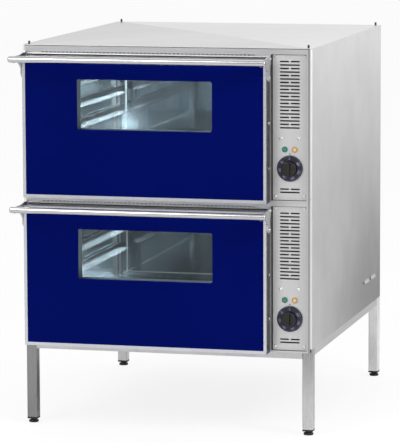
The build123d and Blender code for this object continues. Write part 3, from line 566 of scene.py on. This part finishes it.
# ------------------------------------------------------------------ welded seams inside the chambers
def bead(verts, faces, p0, p1, n1, n2, r=0.0022):
    """Concave quarter-round fillet bead along a corner from p0 to p1; n1 and n2 point into the chamber."""
    p0, p1, n1, n2 = Vector(p0), Vector(p1), Vector(n1), Vector(n2)
    prof = [Vector((0, 0))]
    for i in range(5):
        a = math.pi / 2 * i / 4
        prof.append(Vector((r - r * 0.92 * math.sin(a), r - r * 0.92 * math.cos(a))))
    prof[1].y = 0.0
    prof[5].x = 0.0
    k = len(prof)
    base = len(verts)
    for p in (p0, p1):
        for q in prof:
            verts.append(p + n1 * q.x + n2 * q.y)
    faces.append(tuple(base + i for i in range(k)))
    faces.append(tuple(base + k + i for i in reversed(range(k))))
    for i in range(k):
        j = (i + 1) % k
        faces.append((base + i, base + j, base + k + j, base + k + i))


for d, base in DECKS.items():
    x0, x1, y0, y1, z0, z1 = L + 0.062, L + 0.678, F + 0.0035, F + 0.850, base + 0.072, base + 0.350
    verts, faces = [], []
    bead(verts, faces, (x0 + 0.0022, y1, z0), (x1 - 0.0022, y1, z0), (0, -1, 0), (0, 0, 1))
    bead(verts, faces, (x0 + 0.0022, y1, z1), (x1 - 0.0022, y1, z1), (0, -1, 0), (0, 0, -1))
    for xs, nx in ((x0, 1), (x1, -1)):
        bead(verts, faces, (xs, y0, z0), (xs, y1, z0), (nx, 0, 0), (0, 0, 1))
        bead(verts, faces, (xs, y0, z1), (xs, y1, z1), (nx, 0, 0), (0, 0, -1))
        bead(verts, faces, (xs, y1, z0 + 0.0022), (xs, y1, z1 - 0.0022), (nx, 0, 0), (0, -1, 0))
    add_mesh(f"chamber_seams_{d}", verts, faces, bead_m, "cabinet")

# ------------------------------------------------------------------ painted shadow: dark strips round the control plates, standing for the gap shadow
for d, base in DECKS.items():
    x0, x1, z0, z1 = L + 0.723, L + 0.824, base - 0.006, base + 0.402
    outer = [(x0 - 0.0012, z0 - 0.0012), (x1 + 0.0012, z0 - 0.0012), (x1 + 0.0012, z1 + 0.0012), (x0 - 0.0012, z1 + 0.0012)]
    inner = [(x0 + 0.0034, z0 + 0.0010), (x1 - 0.0013, z0 + 0.0010), (x1 - 0.0013, z1 - 0.0016), (x0 + 0.0034, z1 - 0.0016)]
    ya, yb = F + 0.0048, F + 0.0061
    v = [(x, ya, z) for x, z in outer + inner] + [(x, yb, z) for x, z in outer + inner]
    f = []
    for i in range(4):
        j = (i + 1) % 4
        f += [(i, j, 4 + j, 4 + i), (8 + i, 12 + i, 12 + j, 8 + j), (i, 8 + i, 8 + j, j), (4 + i, 4 + j, 12 + j, 12 + i)]
    add_mesh(f"plate_shadow_strip_{d}", v, f, gasket_and_shadow, "cabinet")

# ------------------------------------------------------------------ stage
# pale sweep: the camera sees it close to the white surround, with a soft contact shadow
stage_m, nt, b = new_mat("stage_white")
pale = noise(nt, 0.8, 2.0, 0.5)
nt.links.new(mix_col(nt, pale, (0.80, 0.80, 0.80), (0.83, 0.83, 0.83)), b.inputs["Base Color"])
b.inputs["Roughness"].default_value = 0.9
b.inputs["Specular IOR Level"].default_value = 0.1
em = node(nt, "ShaderNodeEmission")
em.inputs["Strength"].default_value = 1.06
lp = node(nt, "ShaderNodeLightPath")
mx = node(nt, "ShaderNodeMixShader")
nt.links.new(math_node(nt, "MULTIPLY", lp.outputs["Is Camera Ray"], 0.80), mx.inputs[0])
nt.links.new(b.outputs[0], mx.inputs[1])
nt.links.new(em.outputs[0], mx.inputs[2])
nt.links.new(mx.outputs[0], nt.nodes["Material Output"].inputs["Surface"])
bpy.ops.mesh.primitive_plane_add(size=80.0, location=(0, 0, 0))
floor = bpy.context.object
floor.name = "stage_floor"
floor.data.materials.append(stage_m)

# ------------------------------------------------------------------ light
sc = bpy.context.scene
sc.view_settings.view_transform = "Standard"
sc.view_settings.look = "None"
w = bpy.data.worlds.new("studio")
sc.world = w
w.use_nodes = True
wn = w.node_tree
bg = wn.nodes["Background"]
tc = wn.nodes.new("ShaderNodeTexCoord")


def wdir(vec, a, b, lo, hi):
    """World strength rising from lo to hi as the direction turns towards vec."""
    dot = wn.nodes.new("ShaderNodeVectorMath")
    dot.operation = "DOT_PRODUCT"
    dot.inputs[1].default_value = Vector(vec).normalized()
    wn.links.new(tc.outputs["Generated"], dot.inputs[0])
    mr = wn.nodes.new("ShaderNodeMapRange")
    mr.interpolation_type = "SMOOTHSTEP"
    mr.inputs["From Min"].default_value = a
    mr.inputs["From Max"].default_value = b
    mr.inputs["To Min"].default_value = lo
    mr.inputs["To Max"].default_value = hi
    wn.links.new(dot.outputs["Value"], mr.inputs["Value"])
    return mr.outputs["Result"]


def wmath(op, a, b):
    n = wn.nodes.new("ShaderNodeMath")
    n.operation = op
    for i, v in enumerate((a, b)):
        if isinstance(v, (int, float)):
            n.inputs[i].default_value = v
        else:
            wn.links.new(v, n.inputs[i])
    return n.outputs[0]


front_back = wdir((0.0, 1.0, 0.10), -0.4, 0.95, 0.46, 0.90)     # bright sweep behind
left_right = wdir((-1.0, -0.3, 0.2), -0.3, 0.9, 0.0, 0.16)     # window side on the left
strength = wmath("ADD", front_back, left_right)
rim = wdir((1.0, -0.25, 0.0), 0.86, 0.97, 0.0, 0.9)            # narrow strip light on the right, for the corner bends
strength = wmath("ADD", strength, rim)
lp = wn.nodes.new("ShaderNodeLightPath")
mxx = wn.nodes.new("ShaderNodeMix")
mxx.data_type = "FLOAT"
mxx.inputs[3].default_value = 1.06
wn.links.new(lp.outputs["Is Camera Ray"], mxx.inputs[0])
wn.links.new(strength, mxx.inputs[2])
wn.links.new(mxx.outputs[0], bg.inputs["Strength"])
bg.inputs["Color"].default_value = (1, 1, 1, 1)


def area(name, loc, target, size, energy, color=(1, 1, 1), size_y=None, spread=math.pi):
    ld = bpy.data.lights.new(name, "AREA")
    ld.energy = energy
    ld.color = color
    ld.size = size
    if size_y:
        ld.shape = "RECTANGLE"
        ld.size_y = size_y
    ld.spread = spread
    o = bpy.data.objects.new(name, ld)
    sc.collection.objects.link(o)
    o.location = loc
    o.rotation_euler = (Vector(target) - Vector(loc)).to_track_quat("-Z", "Y").to_euler()
    return o


area("key", (-2.2, -4.2, 3.4), (0, -0.4, 0.6), 2.4, 95)
area("side_fill", (2.3, -1.3, 2.1), (0.42, -0.2, 0.95), 0.9, 36)
area("overhead", (0.3, 0.8, 4.0), (0.1, 0.1, 1.0), 2.5, 9)
for d, base in DECKS.items():
    k = 1.05 if d == "upper" else 0.70
    # lamp under the chamber's roof near the mouth, and a narrow one on the left-hand runners
    area(f"chamber_light_{d}", (0.02, -0.30, base + 0.338), (-0.03, 0.10, base + 0.072), 0.26, 3.4 * k, (0.88, 0.96, 1.0), 0.10)
    area(f"runner_light_{d}", (0.10, -0.36, base + 0.31), (-0.34, -0.05, base + 0.24), 0.05, 1.4 if d == "upper" else 0.30, (0.95, 0.98, 1.0), 0.05)
area("corner_light_upper", (-0.20, 0.12, DECKS["upper"] + 0.30), (-0.34, 0.41, DECKS["upper"] + 0.10), 0.05, 0.12, (0.9, 0.97, 1.0), 0.05, math.radians(50))
